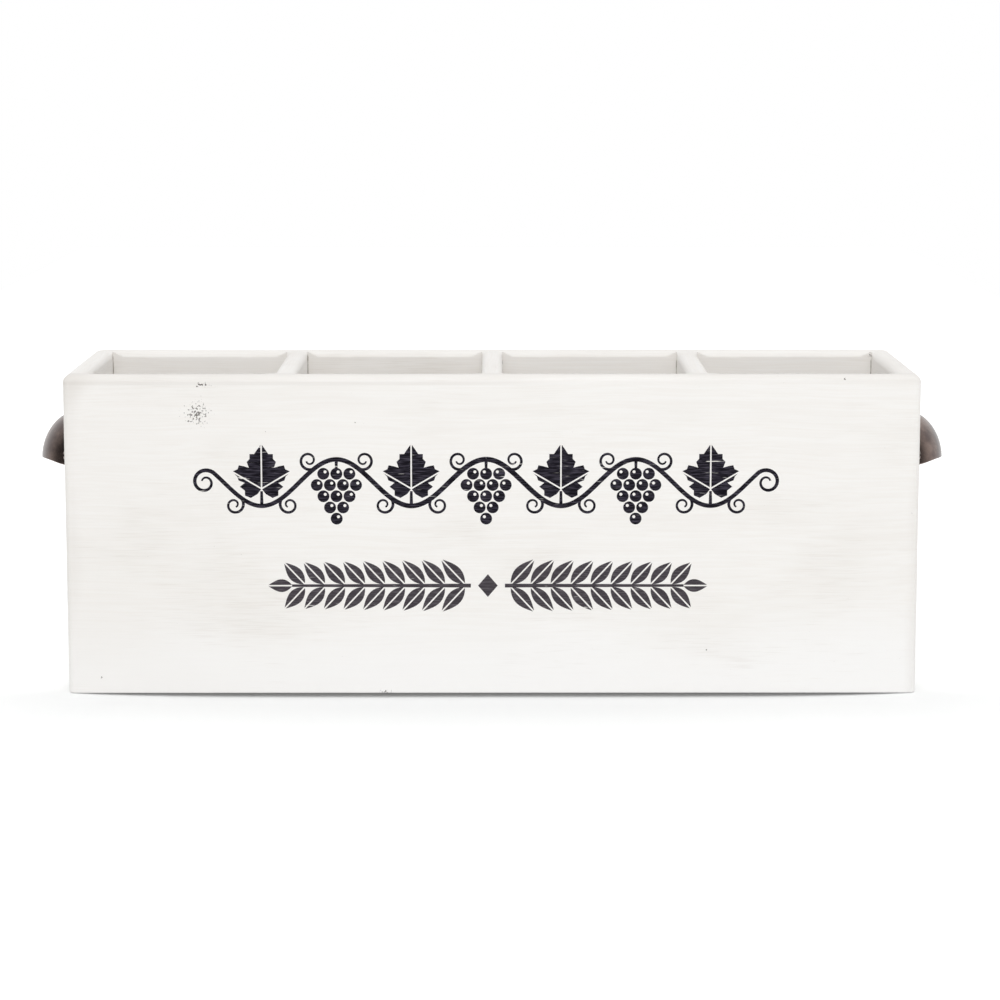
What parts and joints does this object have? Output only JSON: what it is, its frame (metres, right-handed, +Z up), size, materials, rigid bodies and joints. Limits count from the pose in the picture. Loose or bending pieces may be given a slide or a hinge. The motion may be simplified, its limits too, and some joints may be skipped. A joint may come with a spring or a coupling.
{
  "type": "wine bottle box",
  "caption": "Long open-topped white painted wooden box with equal bottle compartments behind a plain front and a dark cup handle on each end.",
  "frame": {"origin": "on the ground, under the middle of the box's footprint", "axes": "+X along the length, towards the right handle seen from the front; +Y from front to back; +Z up"},
  "size_m": [0.437, 0.12, 0.151],
  "materials": {
    "painted_wood": "brushed white paint over sanded softwood, satin",
    "antique_bronze": "dark antique bronze, satin",
    "brad_steel": "plain drawn wire"
  },
  "bodies": {
    "root": {"front_board": "painted_wood", "back_board": "painted_wood", "left_end_board": "painted_wood", "right_end_board": "painted_wood", "base_board": "painted_wood", "divider_left": "painted_wood", "divider_middle": "painted_wood", "divider_right": "painted_wood", "left_cup_handle": "antique_bronze", "right_cup_handle": "antique_bronze", "handle_screw_left_front": "antique_bronze", "handle_screw_left_back": "antique_bronze", "handle_screw_right_front": "antique_bronze", "handle_screw_right_back": "antique_bronze", "brad_front_left_end_1": "brad_steel", "brad_front_left_end_2": "brad_steel", "brad_front_left_end_3": "brad_steel", "brad_front_right_end_1": "brad_steel", "brad_front_right_end_2": "brad_steel", "brad_front_right_end_3": "brad_steel", "brad_front_divider_left_1": "brad_steel", "brad_front_divider_left_2": "brad_steel", "brad_front_divider_middle_1": "brad_steel", "brad_front_divider_middle_2": "brad_steel", "brad_front_divider_right_1": "brad_steel", "brad_front_divider_right_2": "brad_steel", "brad_front_base_1": "brad_steel", "brad_front_base_2": "brad_steel", "brad_front_base_3": "brad_steel", "brad_front_base_4": "brad_steel", "brad_front_base_5": "brad_steel", "brad_back_left_end_1": "brad_steel", "brad_back_left_end_2": "brad_steel", "brad_back_left_end_3": "brad_steel", "brad_back_right_end_1": "brad_steel", "brad_back_right_end_2": "brad_steel", "brad_back_right_end_3": "brad_steel", "brad_back_divider_left_1": "brad_steel", "brad_back_divider_left_2": "brad_steel", "brad_back_divider_middle_1": "brad_steel", "brad_back_divider_middle_2": "brad_steel", "brad_back_divider_right_1": "brad_steel", "brad_back_divider_right_2": "brad_steel", "brad_back_base_1": "brad_steel", "brad_back_base_2": "brad_steel", "brad_back_base_3": "brad_steel", "brad_back_base_4": "brad_steel", "brad_back_base_5": "brad_steel", "brad_left_end_base_1": "brad_steel", "brad_left_end_base_2": "brad_steel", "brad_right_end_base_1": "brad_steel", "brad_right_end_base_2": "brad_steel"}
  },
  "joints": []
}
